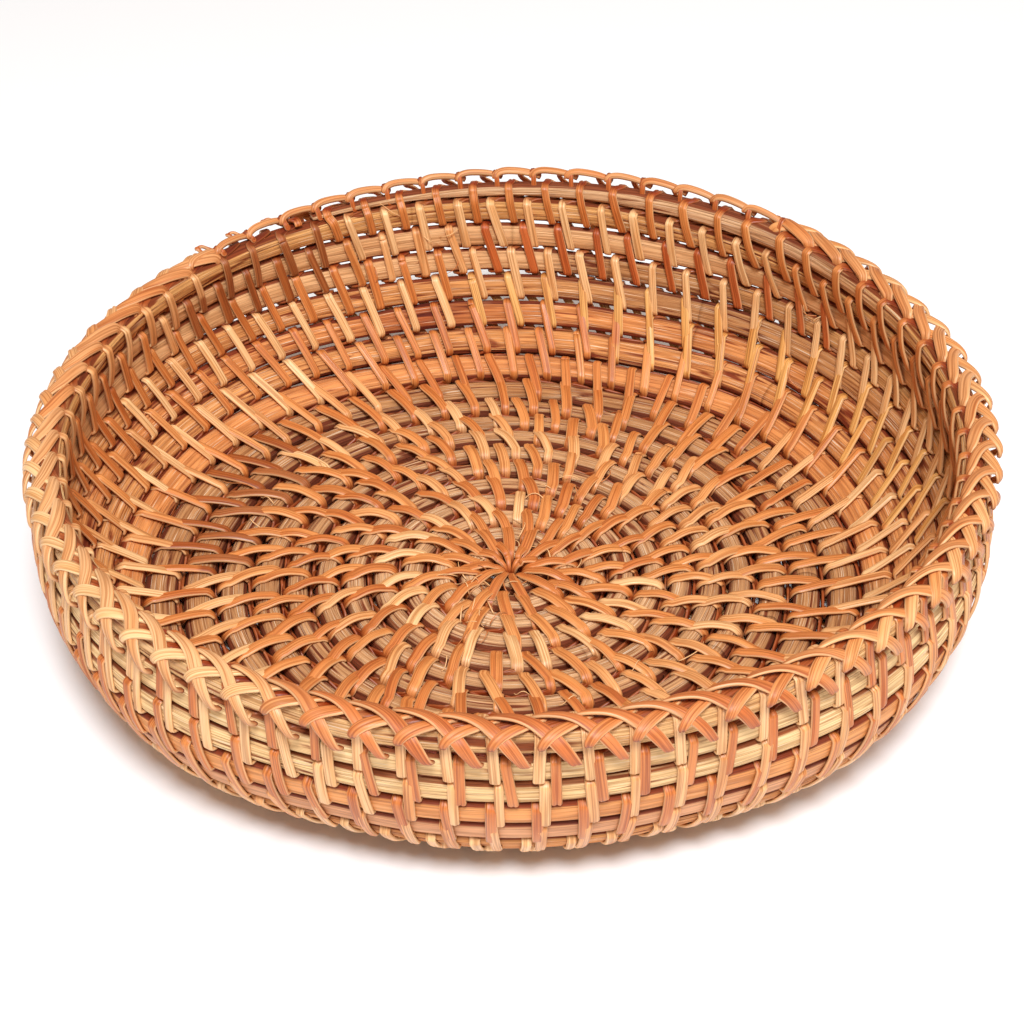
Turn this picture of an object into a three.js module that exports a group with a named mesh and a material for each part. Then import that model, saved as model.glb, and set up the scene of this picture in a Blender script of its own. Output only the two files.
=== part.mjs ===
// Coiled cane winnowing basket, in millimetres, +Z up, standing on z = 0.
// One long foundation rod winds outwards from the eye of the floor and then up the
// wall. Lashing binds each course to the one inside it, and a plait finishes the rim.
import * as THREE from "three";

// Coil: one course is a rod and the gap beside it, measured along the inner surface.
const COURSE = 7.8;
const FIRST_COURSE_EDGE = 3.0;
const GAP = 1.4;
const ROD_THICKNESS = 6.2;
const STEPS_PER_TURN = 24;
const BUTT_GAP = 0.35;

// Bowl: flat floor, then a curve whose slope eases into a wall just past upright.
const FLAT_RADIUS = 82;
const CURVE_COURSES = 9.1;
const WALL_SLOPE = THREE.MathUtils.degToRad(91.2);
const EYE_OFFSET = new THREE.Vector2(-0.5, 2.0);
const EYE_OFFSET_RADIUS = 80;

// The sides belly out a little, and the rim dips to either side of the back.
const BELLY = 4.8;
const BELLY_START = 60;
const BELLY_FULL = 97;
const BELLY_EASES = 122;
const BELLY_EASED = 150;
const BELLY_LEFT = 0.3;
const DIP_START = 105;
const DIP_FULL = 150;
const RIGHT_DIP = 2.2;
const RIGHT_DIP_AT = THREE.MathUtils.degToRad(22);
const LEFT_DIP = 1.2;
const LEFT_DIP_AT = THREE.MathUtils.degToRad(152);

// Lashing: a strip stands this far proud of the rod on both faces.
const STRIP = 1.0;
const LASHING_WIDTH = 0.7;
const SHELL = ROD_THICKNESS + 2 * STRIP;

// Where the coil starts and stops, in turns from the +X direction.
const COIL_START = -8 / STEPS_PER_TURN;
const COIL_END = 18 + 8 / STEPS_PER_TURN;
const TAPER_START = 18 + 3 / STEPS_PER_TURN;
const COIL_LENGTHS = 18;
const LASHING_START = 1;
const START_WIDTH = 3.0;
const END_WIDTH = 1.2;

// Rim plait: a flat oval braid that lies along the top course and bridges its end.
const PLAIT_RADIUS = 119.3;
const PLAIT_WIDTH = 9.4;
const PLAIT_HEIGHT = 3.6;
const RIM_ARC = 150;
const PLAIT_JOIN = 18 + 9 / STEPS_PER_TURN;
const PLAIT_LEAVE = 19 + 3 / STEPS_PER_TURN;

const COLOURS = {
  floorRod: 0xb08a62,
  wallRod: 0xcf8f55,
  lashing: 0xdc9850,
  plait: 0xd88c48,
};

const TWO_PI = 2 * Math.PI;

// Point of the round bowl's inner surface at arc length s from the centre.
function roundSurface(s) {
  if (s <= FLAT_RADIUS) {
    return { r: s, z: SHELL };
  }
  const steps = Math.ceil(s - FLAT_RADIUS);
  const ds = (s - FLAT_RADIUS) / steps;
  let r = FLAT_RADIUS;
  let z = SHELL;
  for (let i = 0; i < steps; i += 1) {
    const slope = slopeAt(FLAT_RADIUS + (i + 0.5) * ds);
    r += ds * Math.cos(slope);
    z += ds * Math.sin(slope);
  }
  return { r, z };
}

function slopeAt(s) {
  const t = THREE.MathUtils.clamp((s - FLAT_RADIUS) / (CURVE_COURSES * COURSE), 0, 1);
  return WALL_SLOPE * (1 - (1 - t) ** 2);
}

// How far the wall swells outwards towards the two sides.
function belly(turn, s) {
  const { smoothstep } = THREE.MathUtils;
  const sides = smoothstep(Math.abs(Math.cos(turn * TWO_PI)), 0.3, 0.75);
  const rise = smoothstep(s, BELLY_START, BELLY_FULL);
  const fall = (1 - BELLY_LEFT) * smoothstep(s, BELLY_EASES, BELLY_EASED);
  return BELLY * sides * rise * (1 - fall);
}

// How far the wall sinks to either side of the back.
function dip(turn, s) {
  const right = RIGHT_DIP * Math.max(0, Math.cos(turn * TWO_PI - RIGHT_DIP_AT)) ** 4;
  const left = LEFT_DIP * Math.max(0, Math.cos(turn * TWO_PI - LEFT_DIP_AT)) ** 6;
  return (right + left) * THREE.MathUtils.smoothstep(s, DIP_START, DIP_FULL);
}

// Point of the basket's inner surface, with its slope.
function innerSurface(turn, s) {
  const face = (at) => {
    const { r, z } = roundSurface(at);
    return { r: r + belly(turn, at), z: z - dip(turn, at) };
  };
  const before = face(s - 0.5);
  const after = face(s + 0.5);
  return { ...face(s), slope: Math.atan2(after.z - before.z, after.r - before.r) };
}

// A point of the basket from its turn, its radius and its height.
function place(turn, r, z) {
  const angle = turn * TWO_PI;
  const shift = Math.max(0, 1 - r / EYE_OFFSET_RADIUS);
  const x = r * Math.cos(angle) + EYE_OFFSET.x * shift;
  const y = r * Math.sin(angle) + EYE_OFFSET.y * shift;
  return new THREE.Vector3(x, y, z);
}

// Section points given along the shell (a) and through it (b), at arc length s.
function placeSection(section, turn, s) {
  const { r, z, slope } = innerSurface(turn, s);
  const cos = Math.cos(slope);
  const sin = Math.sin(slope);
  return section.map(([a, b]) => {
    const depth = SHELL / 2 - b;
    return place(turn, r + a * cos + depth * sin, z + a * sin - depth * cos);
  });
}

// A closed body through rings of points; an open sweep gets a fan over each end.
function sweep(rings, closed) {
  const count = rings[0].length;
  const points = rings.flat();
  const triangles = [];
  const spans = closed ? rings.length : rings.length - 1;
  for (let i = 0; i < spans; i += 1) {
    const here = i * count;
    const next = ((i + 1) % rings.length) * count;
    for (let j = 0; j < count; j += 1) {
      const k = (j + 1) % count;
      triangles.push([here + j, next + k, here + k]);
      triangles.push([here + j, next + j, next + k]);
    }
  }
  if (!closed) {
    const last = (rings.length - 1) * count;
    for (let j = 1; j < count - 1; j += 1) {
      triangles.push([0, j, j + 1]);
      triangles.push([last, last + j + 1, last + j]);
    }
  }
  const geometry = new THREE.BufferGeometry().setFromPoints(points);
  geometry.setIndex(triangles.flat());
  geometry.computeVertexNormals();
  return geometry;
}

function octagon(halfWidth, halfThickness) {
  const corner = Math.SQRT2 - 1;
  const u = halfWidth * corner;
  const v = halfThickness * corner;
  return [
    [halfWidth, -v], [halfWidth, v], [u, halfThickness], [-u, halfThickness],
    [-halfWidth, v], [-halfWidth, -v], [-u, -halfThickness], [u, -halfThickness],
  ];
}

function rectangle(halfWidth, halfThickness) {
  return [
    [halfWidth, -halfThickness], [halfWidth, halfThickness],
    [-halfWidth, halfThickness], [-halfWidth, -halfThickness],
  ];
}

// The turns at which a length has its sections, with its ends drawn back a little.
function sectionTurns(from, to) {
  const steps = Math.round((to - from) * STEPS_PER_TURN);
  const turns = [];
  for (let i = 0; i <= steps; i += 1) {
    turns.push(from + i / STEPS_PER_TURN);
  }
  const radius = innerSurface(from, courseEdge(from)).r + COURSE;
  const trim = BUTT_GAP / 2 / (radius * TWO_PI);
  turns[0] += trim;
  turns[steps] -= trim;
  return turns;
}

// Arc length of the edge between two courses of the coil.
function courseEdge(turn) {
  return FIRST_COURSE_EDGE + COURSE * turn;
}

// Width of a course in mid-shell, from edge to edge.
function courseWidth(turn, centre) {
  const [low] = placeSection([[0, 0]], turn, centre - COURSE / 2);
  const [high] = placeSection([[0, 0]], turn, centre + COURSE / 2);
  return low.distanceTo(high);
}

// The rod is thin where the coil starts, full for its length, and tapers at the rim.
function rodShare(turn) {
  if (turn < 0) {
    return THREE.MathUtils.mapLinear(turn, COIL_START, 0, START_WIDTH / ROD_THICKNESS, 1);
  }
  if (turn > TAPER_START) {
    return THREE.MathUtils.mapLinear(turn, TAPER_START, COIL_END, 1, END_WIDTH / ROD_THICKNESS);
  }
  return 1;
}

function rodLength(from, to) {
  const rings = sectionTurns(from, to).map((turn) => {
    const edge = courseEdge(turn);
    const share = rodShare(turn);
    const width = courseWidth(turn, edge + COURSE / 2) - GAP;
    const section = octagon((width * share) / 2, (ROD_THICKNESS * Math.sqrt(share)) / 2);
    const seat = turn > TAPER_START ? ((1 - share) * width) / 2 : 0;
    return placeSection(section, turn, edge + COURSE / 2 - seat);
  });
  return sweep(rings, false);
}

function lashingLength(from, to) {
  const section = rectangle(LASHING_WIDTH / 2, SHELL / 2);
  const rings = sectionTurns(from, to).map((turn) => placeSection(section, turn, courseEdge(turn)));
  return sweep(rings, false);
}

// Height of the plait's middle: on the top course, then level over the coil's end.
function plaitHeight(turn) {
  const t = Math.max(0, turn - PLAIT_LEAVE) / (PLAIT_JOIN + 1 - PLAIT_LEAVE);
  const rest = THREE.MathUtils.lerp(PLAIT_LEAVE, PLAIT_JOIN, t * t);
  const seat = turn > PLAIT_LEAVE ? rest : turn;
  return innerSurface(turn, courseEdge(seat)).z + PLAIT_HEIGHT / 2;
}

function plaitRing() {
  const section = octagon(PLAIT_WIDTH / 2, PLAIT_HEIGHT / 2);
  const rings = [];
  for (let i = 0; i < STEPS_PER_TURN; i += 1) {
    const turn = PLAIT_JOIN + i / STEPS_PER_TURN;
    const height = plaitHeight(turn);
    const radius = PLAIT_RADIUS + belly(turn, RIM_ARC);
    rings.push(section.map(([a, b]) => place(turn, radius + a, height + b)));
  }
  return sweep(rings, true);
}

// The strips that gather in the eye: a small plug with its own profile on the axis.
function eyeKnot() {
  const radius = 1.6;
  const waist = 1.1;
  const outline = [
    [0, 0], [radius, 0], [waist, STRIP], [waist, SHELL - STRIP], [radius, SHELL], [0, SHELL],
  ];
  const profile = outline.map(([r, z]) => new THREE.Vector2(r, z));
  const geometry = new THREE.LatheGeometry(profile, 12);
  geometry.rotateX(Math.PI / 2);
  geometry.translate(EYE_OFFSET.x, EYE_OFFSET.y, 0);
  return geometry;
}

const group = new THREE.Group();

function add(name, geometry, colour, roughness) {
  const material = new THREE.MeshStandardMaterial({ color: colour, roughness, metalness: 0 });
  const mesh = new THREE.Mesh(geometry, material);
  mesh.name = name;
  group.add(mesh);
}

function regionOf(turn) {
  const slope = slopeAt(courseEdge(turn));
  if (slope < THREE.MathUtils.degToRad(1)) {
    return "floor";
  }
  return slope < THREE.MathUtils.degToRad(70) ? "corner" : "wall";
}

// Lays equal lengths end to end and numbers them within the floor, corner and wall.
function layLengths(piece, count, from, to, build, colourOf, roughness) {
  const total = Math.round((to - from) * STEPS_PER_TURN);
  const numbers = { floor: 0, corner: 0, wall: 0 };
  for (let i = 0; i < count; i += 1) {
    const start = from + Math.round((i * total) / count) / STEPS_PER_TURN;
    const stop = from + Math.round(((i + 1) * total) / count) / STEPS_PER_TURN;
    const region = regionOf((start + stop) / 2);
    numbers[region] += 1;
    const number = String(numbers[region]).padStart(2, "0");
    add(`${region}_${piece}_${number}`, build(start, stop), colourOf(region), roughness);
  }
}

add("eye_knot", eyeKnot(), COLOURS.lashing, 0.45);
layLengths(
  "coil", COIL_LENGTHS, COIL_START, COIL_END, rodLength,
  (region) => (region === "floor" ? COLOURS.floorRod : COLOURS.wallRod), 0.8,
);
layLengths(
  "lashing", COIL_LENGTHS - 1, LASHING_START, COIL_END, lashingLength,
  () => COLOURS.lashing, 0.45,
);
add("rim_plait", plaitRing(), COLOURS.plait, 0.45);

export default group;
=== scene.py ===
import math

import bpy
import numpy as np
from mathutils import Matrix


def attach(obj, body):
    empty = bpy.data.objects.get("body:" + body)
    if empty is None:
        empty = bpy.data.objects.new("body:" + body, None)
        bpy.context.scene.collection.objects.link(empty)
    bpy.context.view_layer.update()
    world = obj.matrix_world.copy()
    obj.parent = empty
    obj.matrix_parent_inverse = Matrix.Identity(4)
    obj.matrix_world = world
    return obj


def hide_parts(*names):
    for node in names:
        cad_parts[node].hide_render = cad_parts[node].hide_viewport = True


# Looks of a coiled cane winnowing basket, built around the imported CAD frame.
# Geometry is worked out in millimetres and turned into metres when a mesh is made.
# Places along the coil are in turns from the eye, anticlockwise from +X seen from above.
# Arc length is measured over the inner face, from the eye out and up to the rim.

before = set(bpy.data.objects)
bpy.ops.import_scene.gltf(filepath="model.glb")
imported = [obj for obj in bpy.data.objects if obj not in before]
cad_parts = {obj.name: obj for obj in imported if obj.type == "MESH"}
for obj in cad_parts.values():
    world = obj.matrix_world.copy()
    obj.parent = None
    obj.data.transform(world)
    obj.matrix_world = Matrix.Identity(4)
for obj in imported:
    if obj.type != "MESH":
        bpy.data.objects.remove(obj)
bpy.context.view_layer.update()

MM = 0.001
DEGREES = 1 / 360
SEED = 20
TABLE_CLEARANCE = 0.01

# ---------------------------------------------------------------- driving dimensions
# The bowl and its coil, as in the CAD source.
COURSE = 7.8
FIRST_COURSE_EDGE = 3.0
ROD_THICKNESS = 6.2
SHELL = 8.2
FLAT_RADIUS = 82.0
CURVE_LENGTH = 9.1 * COURSE
WALL_SLOPE = math.radians(91.2)
EYE_OFFSET = (-0.5, 2.0)
EYE_OFFSET_RADIUS = 80.0
STEPS_PER_TURN = 24
COIL_START = -8 / STEPS_PER_TURN
COIL_END = 18 + 8 / STEPS_PER_TURN
TAPER_START = 18 + 3 / STEPS_PER_TURN
LASHING_START = 1
START_WIDTH = 3.0
END_WIDTH = 1.2
PLAIT_RADIUS = 119.3
PLAIT_HEIGHT = 3.6
PLAIT_JOIN = 18 + 9 / STEPS_PER_TURN
PLAIT_LEAVE = 19 + 3 / STEPS_PER_TURN

# The sides belly out a little, and the rim dips to either side of the back.
# The CAD keeps 0.3 of the belly at the rim, where its plain solids would meet with less.
BELLY = 4.8
BELLY_START, BELLY_FULL = 60.0, 97.0
BELLY_EASES, BELLY_EASED = 122.0, 150.0
BELLY_LEFT = 0.05
SIDE_COSINES = (0.3, 0.75)
DIP_START, DIP_FULL = 105.0, 150.0
RIGHT_DIP, RIGHT_DIP_AT = 2.2, math.radians(22)
LEFT_DIP, LEFT_DIP_AT = 1.2, math.radians(152)

# The courses at the front were beaten up a little higher than a true spiral.
FRONT_LIFT = 2.1
LIFT_FROM, LIFT_FULL = 85.0, 104.0
LIFT_EASES, LIFT_EASED = 118.0, 143.0
LIFT_LEFT = 0.3

# Lashing strips: centre line just outside the rods, half width and half thickness.
STRIP_HALF_WIDTH = 1.22
FLOOR_HALF_WIDTH = 1.5
STRIP_HALF_THICKNESS = 0.46
STRIP_STANDOFF = ROD_THICKNESS / 2 + 0.5
FLOOR_REACH, WALL_REACH = 3.1, 1.3
FLOOR_ARCH, WALL_ARCH = 1.0, 0.45
ARCH_POWER = 1.2
STITCH_PITCH = 10.39
PITCH_AT_EYE, PITCH_GROWTH = 5.5, 0.13
FRONT_EXTRA_STITCHES = 3.7
STITCH_ANCHOR = 16 + 92.9 * DEGREES

# Turns between which a dimension goes from its floor value to its wall value.
ROD_CORNER = (9.5, 12.0)
REACH_CORNER = (8.0, 12.0)
LOOSENESS_CORNER = (9.0, 12.0)
STITCH_CORNER = (10, 13)


# ---------------------------------------------------------------- small mathematics
def smoothstep(low, high, value):
    t = np.clip((value - low) / (high - low), 0, 1)
    return t * t * (3 - 2 * t)


def unit(vectors):
    return vectors / np.maximum(np.linalg.norm(vectors, axis=-1, keepdims=True), 1e-12)


def linear(red, green, blue):
    """A display colour, 0 to 255, as scene-linear values."""
    c = np.array([red, green, blue]) / 255
    return np.where(c <= 0.04045, c / 12.92, ((c + 0.055) / 1.055) ** 2.4)


def catmull(points, per_span):
    """A smooth curve through rows of points, any number of columns."""
    p = np.asarray(points, float)
    p = np.vstack([2 * p[0] - p[1], p, 2 * p[-1] - p[-2]])
    t = np.arange(per_span)[:, None] / per_span
    spans = []
    for a, b, c, d in zip(p[:-3], p[1:-2], p[2:-1], p[3:]):
        spans.append(0.5 * (2 * b + (c - a) * t + (2 * a - 5 * b + 4 * c - d) * t**2
                            + (3 * b - a - 3 * c + d) * t**3))
    return np.vstack(spans + [p[-2:-1]])


class Noise:
    """Smooth repeatable values from -1 to 1 on a grid of cells, wrapping both ways."""

    def __init__(self, seed, rows, columns=1):
        self.values = np.random.default_rng(SEED + seed).uniform(-1, 1, (rows, columns))

    def __call__(self, row, column=0.0):
        row, column = np.broadcast_arrays(np.asarray(row, float), np.asarray(column, float))
        i, j = np.floor(row).astype(int), np.floor(column).astype(int)
        u, v = row - i, column - j
        u, v = u * u * (3 - 2 * u), v * v * (3 - 2 * v)
        rows, columns = self.values.shape
        i0, i1, j0, j1 = i % rows, (i + 1) % rows, j % columns, (j + 1) % columns
        low = self.values[i0, j0] * (1 - v) + self.values[i0, j1] * v
        high = self.values[i1, j0] * (1 - v) + self.values[i1, j1] * v
        return low * (1 - u) + high * u


# ---------------------------------------------------------------- the bowl's shell
ARC_LIMIT, ARC_STEP = 200, 0.1
ARC = np.arange(0, ARC_LIMIT, ARC_STEP)


def slope_at(s):
    t = np.clip((s - FLAT_RADIUS) / CURVE_LENGTH, 0, 1)
    return WALL_SLOPE * (1 - (1 - t) ** 2)


MID_SLOPES = slope_at(ARC[:-1] + ARC_STEP / 2)
ARC_RADII = np.append(0, np.cumsum(ARC_STEP * np.cos(MID_SLOPES)))
ARC_HEIGHTS = SHELL + np.append(0, np.cumsum(ARC_STEP * np.sin(MID_SLOPES)))


def lifted(turn, s):
    """Arc length with the front courses moved up the wall."""
    front = np.maximum(0, -np.sin(2 * np.pi * np.asarray(turn)))
    rise = smoothstep(LIFT_FROM, LIFT_FULL, s)
    ease = 1 - (1 - LIFT_LEFT) * smoothstep(LIFT_EASES, LIFT_EASED, s)
    return s + FRONT_LIFT * front * rise * ease


def belly(turn, s):
    """How far the wall swells outwards towards the two sides."""
    sides = smoothstep(*SIDE_COSINES, np.abs(np.cos(2 * np.pi * np.asarray(turn))))
    rise = smoothstep(BELLY_START, BELLY_FULL, s)
    ease = 1 - (1 - BELLY_LEFT) * smoothstep(BELLY_EASES, BELLY_EASED, s)
    return BELLY * sides * rise * ease


def dip(turn, s):
    """How far the wall sinks to either side of the back."""
    angle = 2 * np.pi * np.asarray(turn)
    right = RIGHT_DIP * np.maximum(0, np.cos(angle - RIGHT_DIP_AT)) ** 4
    left = LEFT_DIP * np.maximum(0, np.cos(angle - LEFT_DIP_AT)) ** 6
    return (right + left) * smoothstep(DIP_START, DIP_FULL, s)


def inner_face(turn, s):
    """Radius and height of the inner face."""
    s = lifted(turn, s)
    radius = np.interp(s, ARC, ARC_RADII) + belly(turn, s)
    height = np.interp(s, ARC, ARC_HEIGHTS) - dip(turn, s)
    return radius, height


def inner_slope(turn, s):
    r0, z0 = inner_face(turn, s - 0.5)
    r1, z1 = inner_face(turn, s + 0.5)
    return np.arctan2(z1 - z0, r1 - r0)


def place(turn, r, z):
    """A point from its turn, its radius and its height; small radii centre on the eye."""
    angle = 2 * np.pi * np.asarray(turn)
    shift = np.maximum(0, 1 - r / EYE_OFFSET_RADIUS)
    x = r * np.cos(angle) + EYE_OFFSET[0] * shift
    y = r * np.sin(angle) + EYE_OFFSET[1] * shift
    return np.stack(np.broadcast_arrays(x, y, z), axis=-1)


def shell_point(turn, s, depth):
    """A point at arc length s, at a depth below the inner face."""
    slope = inner_slope(turn, s)
    r, z = inner_face(turn, s)
    return place(turn, r + depth * np.sin(slope), z - depth * np.cos(slope))


def course_edge(turn):
    return FIRST_COURSE_EDGE + COURSE * np.asarray(turn)


def course_width(turn, centre):
    """Width of a course in mid-shell, from edge to edge."""
    low = shell_point(turn, centre - COURSE / 2, SHELL / 2)
    high = shell_point(turn, centre + COURSE / 2, SHELL / 2)
    return np.linalg.norm(high - low, axis=-1)


def rod_share(turn):
    """The rod is thin where the coil starts, full for its length, and tapers at the rim."""
    knots = [COIL_START, 0, TAPER_START, COIL_END]
    shares = [START_WIDTH / ROD_THICKNESS, 1, 1, END_WIDTH / ROD_THICKNESS]
    return np.interp(turn, knots, shares)


LAST_TURN, TURN_STEP = 20.5, 0.002
TURNS = np.arange(COIL_START - 1, LAST_TURN, TURN_STEP)
TURN_RADII = np.interp(np.maximum(course_edge(TURNS), 1), ARC, ARC_RADII) + SHELL / 2
TURN_LENGTHS = np.append(0, np.cumsum(2 * np.pi * TURN_RADII[1:] * np.diff(TURNS)))


def coil_length(turn):
    """Length of foundation used up to a turn."""
    return np.interp(turn, TURNS, TURN_LENGTHS)


def stitches_per_turn(turn):
    radius = np.interp(turn, TURNS, TURN_RADII)
    pitch = np.minimum(STITCH_PITCH, PITCH_AT_EYE + PITCH_GROWTH * radius)
    on_wall = smoothstep(*STITCH_CORNER, turn)
    extra = FRONT_EXTRA_STITCHES * np.sin(2 * np.pi * turn) * on_wall
    return 2 * np.pi * radius / pitch - extra


STITCH_COUNTS = np.append(0, np.cumsum(stitches_per_turn(TURNS[1:]) * np.diff(TURNS)))
STITCH_COUNTS -= np.interp(STITCH_ANCHOR, TURNS, STITCH_COUNTS)


def stitch_count(turn):
    return np.interp(turn, TURNS, STITCH_COUNTS)


def stitch_turn(count):
    return np.interp(count, STITCH_COUNTS, TURNS)


# ---------------------------------------------------------------- mesh making
class Body:
    """Closed sweeps gathered into one mesh, with their grain and colour attributes."""

    def __init__(self):
        self.points, self.quads, self.attributes = [], [], {}
        self.count = 0

    def sweep(self, rings, **attributes):
        """Adds a tube through rings of points, with both ends capped."""
        stations, sides = rings.shape[:2]
        base = np.arange(stations - 1)[:, None] * sides
        j = np.arange(sides)[None, :]
        k = (j + 1) % sides
        tube = np.stack([base + j, base + k, base + sides + k, base + sides + j], axis=-1)
        cap = np.array([[i, sides - 1 - i, sides - 2 - i, i + 1] for i in range(sides // 2 - 1)])
        far = cap[:, ::-1] + (stations - 1) * sides
        quads = np.vstack([tube.reshape(-1, 4), cap, far])
        points = rings.reshape(-1, 3)
        if signed_volume(points, quads) < 0:
            quads = quads[:, ::-1]
        self.points.append(points)
        self.quads.append(quads + self.count)
        self.count += len(points)
        for name, values in attributes.items():
            self.attributes.setdefault(name, []).append(values.reshape(len(points), -1))

    def build(self, name, material):
        points = np.vstack(self.points)
        points[:, 2] = np.maximum(points[:, 2], TABLE_CLEARANCE)
        quads = np.vstack(self.quads)
        mesh = bpy.data.meshes.new(name)
        mesh.vertices.add(len(points))
        mesh.loops.add(quads.size)
        mesh.polygons.add(len(quads))
        mesh.vertices.foreach_set("co", (points * MM).ravel())
        mesh.loops.foreach_set("vertex_index", quads.ravel())
        mesh.polygons.foreach_set("loop_start", np.arange(0, quads.size, 4))
        mesh.polygons.foreach_set("use_smooth", np.ones(len(quads), bool))
        mesh.update(calc_edges=True)
        for label, parts in self.attributes.items():
            values = np.vstack(parts)
            kind = {1: "FLOAT", 3: "FLOAT_VECTOR"}[values.shape[1]]
            field = {1: "value", 3: "vector"}[values.shape[1]]
            attribute = mesh.attributes.new(label, kind, "POINT")
            attribute.data.foreach_set(field, values.ravel())
        mesh.materials.append(material)
        piece = bpy.data.objects.new(name, mesh)
        bpy.context.scene.collection.objects.link(piece)
        return piece


def signed_volume(points, quads):
    a, b, c, d = (points[quads[:, i]] for i in range(4))
    return np.einsum("ij,ij->i", a, np.cross(b, c) + np.cross(c, d)).sum()


# ---------------------------------------------------------------- foundation rods
ROD_SIDES = 56
ROD_STEP = 1.3

# Gap beside the rod, from the eye outwards; on the wall it is open only at the back.
GAP_KNOTS = [
    (0, 1.3), (3.0, 1.8), (9.0, 2.1), (10.5, 1.5), (12.0, 1.1), (13.0, 1.3), (13.7, 1.6),
    (15.4, 1.5), (16.0, 0.8), (17.0, 1.0), (18.4, 1.0),
]
TIGHT_GAP = 0.45
GAP_BACK_SINES = (0.45, 0.95)

# At the back of the wall the foundation is flat, so light comes through between courses.
OPEN_FROM, OPEN_TO = 12.8, 16.9
OPEN_EASE = 0.5
OPEN_BACK_SINES = (0.35, 0.8)
OPEN_THINNING = 3.0


def open_back(turn):
    """One where the wall is open at the back, nought elsewhere."""
    back = smoothstep(*OPEN_BACK_SINES, np.sin(2 * np.pi * np.asarray(turn)))
    opened = smoothstep(OPEN_FROM, OPEN_FROM + OPEN_EASE, turn)
    closed = smoothstep(OPEN_TO, OPEN_TO + OPEN_EASE, turn)
    return back * opened * (1 - closed)


def rod_gap(turn):
    full = np.interp(turn, *zip(*GAP_KNOTS))
    back = smoothstep(*GAP_BACK_SINES, np.sin(2 * np.pi * turn))
    tight = (1 - back) * smoothstep(*ROD_CORNER, turn)
    return full + (TIGHT_GAP - full) * tight


GREY_TAN = linear(228, 190, 150)
DARK_TAN = linear(196, 148, 102)
ORANGE = linear(224, 158, 100)
WARM_TAN = linear(222, 164, 106)
RED_BROWN = linear(180, 104, 58)
PINK_LATH = linear(224, 170, 128)
ORANGE_LATH = linear(230, 166, 106)
PALE_LATH = linear(236, 192, 144)
STRAW = linear(240, 208, 160)
HONEY_TAN = linear(228, 178, 118)

# What the foundation is made of: (from turn, how smooth a lath it is, its colour).
FOUNDATION = [
    (-1.00, 0.0, GREY_TAN), (9.70, 0.0, DARK_TAN), (10.98, 0.0, DARK_TAN),
    (11.00, 0.6, ORANGE), (11.50, 0.4, ORANGE), (11.56, 0.0, ORANGE), (12.50, 0.0, WARM_TAN),
    (13.24, 0.0, ORANGE), (13.29, 0.0, RED_BROWN), (13.33, 0.0, ORANGE), (13.52, 0.0, ORANGE),
    (13.56, 1.0, PINK_LATH), (13.95, 1.0, PINK_LATH), (13.99, 0.0, WARM_TAN),
    (14.17, 0.0, DARK_TAN), (14.27, 0.0, WARM_TAN), (14.48, 0.0, WARM_TAN),
    (14.52, 1.0, ORANGE_LATH), (15.00, 1.0, ORANGE_LATH), (15.02, 0.0, HONEY_TAN),
    (15.22, 0.0, DARK_TAN), (15.24, 1.0, PALE_LATH), (15.46, 1.0, PALE_LATH),
    (15.52, 0.0, STRAW), (15.94, 0.0, STRAW), (15.98, 0.9, PALE_LATH), (16.45, 0.9, PALE_LATH),
    (16.52, 0.4, STRAW), (16.98, 0.4, STRAW), (17.02, 0.0, HONEY_TAN), (17.50, 0.0, HONEY_TAN),
    (17.56, 0.0, STRAW), (18.05, 0.0, HONEY_TAN), (18.12, 0.1, GREY_TAN), (18.50, 0.1, GREY_TAN),
]

# Section of a rod: a rounded box whose corners are squarer where the power is higher.
FLOOR_POWER, WALL_POWER = 2.35, 2.8
LATH_POWER, OPEN_POWER = 1.9, -0.5
LATH_THINNING, LATH_SMOOTHING = 0.06, 0.8

# Relief of a rod, in cells round it, length of a cell, and height or depth.
RIDGES, RIDGE_LENGTH, RIDGE_HEIGHT = 26, 17, 0.13
FIBRES, FIBRE_LENGTH, FIBRE_HEIGHT = 44, 11, 0.09
SPLITS, SPLIT_LENGTH, SPLIT_DEPTH = 17, 38, 0.26
SPLIT_WIDTH = 0.16
SWELL_LENGTH, SWELL, OPEN_SWELL = 23, 0.035, 0.03
WANDER_LENGTH, WANDER = 29, 0.16
WANDER_DEPTH_SHARE = 0.6

# The shade attribute of a rod is low in the splits and on its flanks, which lie in shade; the rod
# material paints shade there by darkening the colour.
FLANK_COSINES, FLANK_SHADE = (0.66, 0.97), 1.1
FULL_RELIEF = 0.3

ridge_noise = Noise(1, 700, RIDGES)
fibre_noise = Noise(2, 900, FIBRES)
split_noise = Noise(3, 400, SPLITS)
swell_noise = Noise(4, 600)
wander_noise = Noise(5, 500, 2)


def foundation_look(turn):
    """Smoothness and colour of the foundation at each turn."""
    knots = np.array([row[0] for row in FOUNDATION])
    smooth = np.interp(turn, knots, [row[1] for row in FOUNDATION])
    colours = np.array([row[2] for row in FOUNDATION])
    colour = np.stack([np.interp(turn, knots, colours[:, i]) for i in range(3)], axis=-1)
    return smooth, colour


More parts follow.
